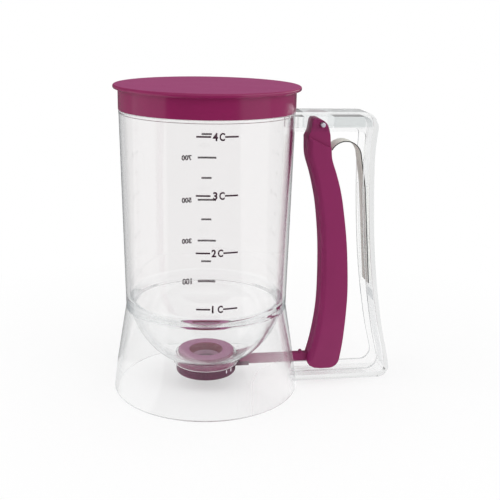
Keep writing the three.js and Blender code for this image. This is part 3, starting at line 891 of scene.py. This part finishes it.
valve = {
    "steps": 96,
    "seat": [(8, 14.7, 0.3), (18.1, 14.7, 0.3), (18.1, 22.3, 1.0), (10.8, 22.3, 0.8)],
    "seal": [(8, 13.7, 0.3), (12, 13.7, 0.3), (12, 14.7, 0.3), (8, 14.7, 0.3)],
    "cap": [(8, 8.5, 0.5), (18.9, 8.5, 1.3), (18.9, 14.7, 0.5), (16.9, 14.7, 0.3),
            (16.9, 10.7, 0.4), (8, 10.7, 0.3)],
    "gateWay": ((0, -9.9, 10.7), (24, 9.9, 20)),
}


def outletValve():
    seat, seal, cap = (spun(name, rounded(valve[key]), valve["steps"]) for name, key in (
        ("outletSeat", "seat"), ("sealRing", "seal"), ("bayonetCap", "cap")))
    carved(cap, block("gateWay", *valve["gateWay"]))
    dressed(smoothed(seat), plumValve, "body", "plum_valve", "valve_seat")
    dressed(smoothed(seal), silicone, "body", "seal", "seal_ring")
    dressed(smoothed(cap), plumValve, "body", "plum_valve", "valve_cap")


pips = {
    "radius": 18.75, "height": 12.6, "turns": (-53, -40), "size": (0.35, 0.62, 1.35),
    "segments": 24, "rings": 16, "smooth": 60,
}


def glintPips():
    # two raised bumps on the cap's side, painted white for the glints on them
    p = pips
    made = []
    for turn in p["turns"]:
        angle = math.radians(turn)
        letGo()
        bpy.ops.mesh.primitive_uv_sphere_add(
            segments=p["segments"], ring_count=p["rings"], radius=mm)
        pip = bpy.context.object
        pip.scale = p["size"]
        pip.rotation_euler = (0, 0, angle)
        across = p["radius"] * math.sin(angle)
        pip.location = place(p["radius"] * math.cos(angle), p["height"], across)
        made.append(settle("pip"))
    dressed(smoothed(merged("glintPips", made), p["smooth"]), pipGlint, "body", "plum_valve")


# each bar is its radius, reach, height and length
gate = {
    "plate": (9.6, 0, 12.2, 2.4), "plateSides": 96, "tongue": ((5, -2.5, 11.0), (27.5, 2.5, 13.4)),
    "peg": (1.1, 24.35, 14.1, 3.0), "pegHole": (1.4, 24.35, 12.9, 6), "pegSides": 32, "round": 0.25,
}
rod = {
    "shaft": ((21.2, -2.5, 12.0), (75.5, 2.5, 17.4)), "round": 0.5,
    "lap": ((16.2, -5, 6), (27.8, 5, 13.7)),
    "trunnion": (1.5, 73, 14.7, 10), "nub": (1.2, 62, 17.4, 5), "barRound": 0.3,
}


def gateAndRod():
    plate = bar("slidingGate", *gate["plate"], True, gate["plateSides"])
    joined(plate, block("tongue", *gate["tongue"]))
    joined(plate, bar("peg", *gate["peg"], True, gate["pegSides"]))
    softened(plate, gate["round"], segments=2)
    dressed(smoothed(plate), plumValve, "rod", "plum_valve", "gate_plate")
    shaft = softened(block("pushRod", *rod["shaft"]), rod["round"])
    carved(shaft, block("lap", *rod["lap"]))
    carved(shaft, bar("pegHole", *gate["pegHole"], True, gate["pegSides"]))
    for name in ("trunnion", "nub"):
        joined(shaft, softened(bar(name, *rod[name]), rod["barRound"], segments=2))
    dressed(smoothed(shaft), plumTrigger, "rod", "plum_trigger", "push_rod")


leafSpring()
pivotPin()
outletValve()
glintPips()
gateAndRod()
print("spring, valve and rod made")


# Printed scales: cups on the near side, millilitres on the far side

scale = {
    # how the ink stands on the wall, how thick the bars are and how much bolder the letters
    "proud": 0.02, "ink": 0.05, "bar": 0.95, "farBar": 1.3, "weight": 0.036, "farWeight": 0.055,
    "barSteps": 10, "fontSteps": 6,
    # each row: digit, height, left bar, where the digit and the letter start, right bar
    "cups": [("4", 166.25, (-11.7, -3.6), -2.8, 0.9, (3.95, 11.6)),
             ("3", 133.6, (-11.8, -3.7), -2.35, 1.15, (4.25, 11.85)),
             ("2", 100.55, (-11.7, -3.6), -2.85, 0.75, (3.85, 12.4)),
             ("1", 66.9, (-11.35, -3.25), -2.3, 1.05, (4.15, 12.7))],
    "tall": 4.5, "digitWide": {"4": 2.9, "3": 2.5, "2": 2.7}, "letterWide": 3.05,
    "millilitres": [("700", 137.4), ("500", 109.0), ("300", 80.9), ("100", 52.2)],
    # a number is where it starts, how tall it is and how wide
    "longBar": (-0.75, 12.0), "number": (-12.1, 3.6, 7.1),
    "ticks": [152.9, 123.8, 95.6, 66.4], "shortTick": (1.8, 8.8),
}


def jugRadius(height):
    (collarR, collarZ), (waistR, waistZ) = body["collar"], body["waist"]
    shinR, shinZ = body["shin"]
    if height >= waistZ:
        return waistR + (collarR - waistR) * (height - waistZ) / (collarZ - waistZ)
    return waistR + (shinR - waistR) * (waistZ - height) / (waistZ - shinZ)


def wrapped(obj, side):
    # flat in x and z, in metres from the axis: laid round the jug, on the near side (-1) or
    # the far side (1)
    for vertex in obj.data.vertices:
        x, z = vertex.co.x - axisX, vertex.co.z
        radius = (jugRadius(z / mm) + scale["proud"]) * mm
        angle = x / radius
        vertex.co = (axisX + radius * math.sin(angle), side * radius * math.cos(angle), z)
    return modify(outward(obj), "SOLIDIFY", thickness=scale["ink"] * mm, offset=1.0)


def flatBar(start, end, height, thickness):
    letGo()
    bpy.ops.mesh.primitive_grid_add(
        x_subdivisions=scale["barSteps"], y_subdivisions=1, size=1,
        location=place((start + end) / 2, height), rotation=(math.pi / 2, 0, 0))
    bpy.context.object.scale = ((end - start) * mm, thickness * mm, 1)
    return settle("mark")


def flatText(words, start, height, tall, mirrored=False, wide=None, weight=scale["weight"]):
    letGo()
    bpy.ops.object.text_add()
    text = bpy.context.object
    text.data.body = words
    text.data.size = 1.0
    text.data.resolution_u = scale["fontSteps"]
    text.data.offset = weight
    bpy.ops.object.convert(target="MESH")
    obj = bpy.context.object
    xs, ys = [v.co.x for v in obj.data.vertices], [v.co.y for v in obj.data.vertices]
    grow = tall * mm / (max(ys) - min(ys))
    growX = wide * mm / (max(xs) - min(xs)) if wide else grow
    width = (max(xs) - min(xs)) * growX
    for vertex in obj.data.vertices:
        x, y = (vertex.co.x - min(xs)) * growX, (vertex.co.y - (min(ys) + max(ys)) / 2) * grow
        x = width - x if mirrored else x
        vertex.co = (axisX + start * mm + x, 0, height * mm + y)
    return obj


def printedScales():
    s = scale
    near, far = [], []
    for digit, height, left, digitStart, letterStart, right in s["cups"]:
        near += [flatBar(*ends, height, s["bar"]) for ends in (left, right)]
        near.append(flatText(digit, digitStart, height, s["tall"], wide=s["digitWide"].get(digit)))
        near.append(flatText("C", letterStart, height, s["tall"], wide=s["letterWide"]))
    dressed(wrapped(merged("cupScale", near), -1), ink, "body", "plum_valve")
    start, tall, wide = s["number"]
    for label, height in s["millilitres"]:
        far.append(flatBar(*s["longBar"], height, s["farBar"]))
        far.append(flatText(label, start, height, tall, True, wide, s["farWeight"]))
    far += [flatBar(*s["shortTick"], height, s["farBar"]) for height in s["ticks"]]
    dressed(wrapped(merged("millilitreScale", far), 1), ink, "body", "plum_valve")


printedScales()
print("scales printed")


# Floor, light and camera

photo = {
    "from": (-0.08754, -0.51667, 0.23657), "heading": 9.257, "dip": 15.905, "roll": 1.17057,
    "focal": 870.185, "pixels": 500, "sensor": 36, "clip": (0.01, 20),
}
heading = math.radians(photo["heading"])
toCamera = Vector((-math.sin(heading), -math.cos(heading), 0))
toRight = Vector((-toCamera.y, toCamera.x, 0))

studio = {
    "world": 0.5, "bounces": 24, "floorRadius": 8.0, "floorSides": 96,
    "floorGrain": (3.0, 3.0, 0.5), "floorTones": ((0.94, 0.94, 0.94, 1), (0.96, 0.96, 0.96, 1)),
    # how white the floor is by distance, in metres, and its painted shadows under the jug and the
    # arm
    "floorLift": 0.74, "floorFade": (0.1, 0.3), "underFade": (0.018, 0.058), "underShade": 0.33,
    "armFade": (0.009, 0.02), "armShade": 0.3, "armStart": (0.022, 0.034), "armEnd": (0.06, 0.092),
    "softbox": 2.4, "softboxSize": (1.0, 1.4), "softboxFar": 1.2, "softboxHigh": 0.45,
    "softboxTurns": (-76, 64), "top": 1.0, "topSize": (1.2, 1.2), "topPlace": (0, -0.2, 1.5),
    "aim": 0.1,
    # reflections: brightness and the turns from the camera's side, in degrees, where cards stand
    "cards": ((-105, -50), (43, 87)), "cardLow": 0.95, "frontLow": 0.06, "aroundTurn": (95, 160),
    "aroundLow": (0.5, 0.1), "frontHigh": 1.2, "rightHigh": 2.6, "rightEnd": 150, "aroundHigh": 0.2,
    "nearRight": 0.3, "nearFade": (0.12, 0.42), "nearTurn": (57, 150, 6),
    # by how far a ray climbs: the step from floor to sky, the sky overhead, and rays turned back
    "horizon": (0.0, 0.05), "overhead": 0.85, "overheadFrom": (0.35, 0.75),
    "turnedBack": (0.32, 0.9), "turnedFrom": (0.08, 0.3), "turnedDown": 0.88,
}


def turnFromCamera(f, direction):
    # the turn round the object from the camera's side, in degrees, plus to the right
    aside, ahead = (f.measure("DOT_PRODUCT", direction, tuple(way)) for way in (toRight, toCamera))
    return aside.turnFrom(ahead) * (180 / math.pi)


def within(f, turn, low, high, soft=2.0):
    return f.stretched(turn, low - soft, low + soft) * f.faded(turn, high - soft, high + soft)


def reflected(f, turn, lifted):
    # what the glossy surfaces see: cards to the left and right, less light from the camera's side
    s = studio
    left, right = s["cards"]
    low = f.between(f.stretched(turn.size(), *s["aroundTurn"]), *s["aroundLow"])
    cards = within(f, turn, *left) + within(f, turn, *right)
    front = within(f, turn, left[1], right[0])
    below = low + cards * (s["cardLow"] - low) - front * (low - s["frontLow"])
    bright = within(f, turn, right[0], s["rightEnd"])
    dim = s["aroundHigh"]
    above = dim + front * (s["frontHigh"] - dim) + bright * (s["rightHigh"] - dim)
    return below * (1 - lifted) + above * lifted


def seenBy(f, through, back, gloss, rest):
    # a level for each kind of ray, and 1 for the camera's: a refracted ray counts as glossy too
    isCamera, isThrough, isGloss = f.path("Is Camera Ray"), f.throughRay(), f.path("Is Glossy Ray")
    level = gloss * isGloss + rest * (1 - isGloss)
    level = through * (1 - f.turnedRay() * (1 - back)) * isThrough + level * (1 - isThrough)
    return isCamera + level * (1 - isCamera)


def floorWhiteness(f, point):
    # whiter far away, with painted shadows under the jug and under the handle's bottom arm
    s = studio
    lift = f.between(f.stretched(f.measure("LENGTH", point), *s["floorFade"]), s["floorLift"], 1.0)
    under = f.faded(f.measure("DISTANCE", point, jugAxis), *s["underFade"])
    reach, across = f.ways(point, "XY")
    along = f.stretched(reach, *s["armStart"]) * f.faded(reach, *s["armEnd"])
    arm = f.faded(across.size(), *s["armFade"]) * along
    return lift * (1 - under * s["underShade"]) * (1 - arm * s["armShade"])


def whiteFloor():
    s = studio
    letGo()
    bpy.ops.mesh.primitive_circle_add(
        vertices=s["floorSides"], radius=s["floorRadius"], fill_type="NGON")
    floor = bpy.context.object
    floor.name = "floor"
    f = Finish("paleFloor")
    point = f.spot()
    turn = turnFromCamera(f, point)
    dull = f.shader("BsdfDiffuse", {"Color": f.mixed(f.noise(*s["floorGrain"]), *s["floorTones"])})
    white, black = (f.light("Emission", strength) for strength in (1.0, 0.0))
    seen = f.choose(floorWhiteness(f, point), dull, white)
    seen = f.choose(f.turnedRay() * (1 - s["turnedDown"]), seen, black)
    near = f.faded(f.measure("LENGTH", point), *s["nearFade"]) * within(f, turn, *s["nearTurn"])
    mirrored = f.lit("Emission", reflected(f, turn, 0.0) + near * s["nearRight"])
    isThrough = f.throughRay()
    isGloss = f.path("Is Glossy Ray") * (1 - isThrough)
    isSeen = f.path("Is Camera Ray").most(isThrough)
    floor.data.materials.append(f.done(f.choose(isGloss, f.choose(isSeen, dull, seen), mirrored)))


def whiteWorld():
    s = studio
    world = bpy.data.worlds.new("studioWhite")
    bpy.context.scene.world = world
    world.cycles.sampling_method = "NONE"  # each kind of ray then meets its own level
    f = Finish("", world)
    direction = f.node("TexCoord", output="Generated")
    height = f.ways(direction, "Z")[0]
    lifted = f.stretched(height, *s["horizon"])
    through = 1 - f.stretched(height, *s["overheadFrom"]) * (1 - s["overhead"])
    back = f.between(f.stretched(height, *s["turnedFrom"]), *s["turnedBack"])
    gloss = reflected(f, turnFromCamera(f, direction), lifted)
    f.done(f.lit("Background", seenBy(f, through, back, gloss, s["world"])))


def lamp(name, level, size, spot, target):
    # an area lamp of one brightness per unit of its face, which lights but isn't mirrored
    data = bpy.data.lights.new(name, "AREA")
    data.shape, data.size, data.size_y = "RECTANGLE", size[0], size[1]
    data.energy = level * math.pi * size[0] * size[1]
    obj = bpy.data.objects.new(name, data)
    bpy.context.collection.objects.link(obj)
    obj.location = spot
    obj.rotation_euler = (Vector(target) - Vector(spot)).to_track_quat("-Z", "Y").to_euler()
    obj.visible_camera = obj.visible_glossy = obj.visible_transmission = False


def photoCamera():
    # as solved from the rims, the waist and the foot in the photograph
    p = photo
    dip, roll = math.radians(p["dip"]), math.radians(p["roll"])
    forward = Vector((
        math.sin(heading) * math.cos(dip), math.cos(heading) * math.cos(dip), -math.sin(dip)))
    right = Vector((math.cos(heading), -math.sin(heading), 0))
    up = right.cross(forward)
    x = right * math.cos(roll) + up * math.sin(roll)
    y = up * math.cos(roll) - right * math.sin(roll)
    data = bpy.data.cameras.new("photoCamera")
    data.sensor_width = p["sensor"]
    data.lens = p["focal"] / p["pixels"] * p["sensor"]
    data.clip_start, data.clip_end = p["clip"]
    camera = bpy.data.objects.new("photoCamera", data)
    bpy.context.collection.objects.link(camera)
    turn = Matrix((x, y, -forward)).transposed().to_4x4()
    camera.matrix_world = Matrix.Translation(p["from"]) @ turn
    bpy.context.scene.camera = camera


def softboxes():
    s = studio
    for side, turn in zip(("Left", "Right"), s["softboxTurns"]):
        angle = math.radians(turn)
        way = toCamera * math.cos(angle) + toRight * math.sin(angle)
        lamp("softbox" + side, s["softbox"], s["softboxSize"],
             way * s["softboxFar"] + Vector((axisX, 0, s["softboxHigh"])), (axisX, 0, s["aim"]))
    lamp("softboxTop", s["top"], s["topSize"], s["topPlace"], (0, 0, s["aim"]))


whiteFloor()
whiteWorld()
softboxes()
photoCamera()

scene = bpy.context.scene
scene.view_settings.view_transform = "Standard"
scene.cycles.caustics_reflective = False
scene.cycles.caustics_refractive = False
for kind in ("max", "glossy", "transmission", "transparent_max"):
    setattr(scene.cycles, kind + "_bounces", studio["bounces"])
print("studio made")
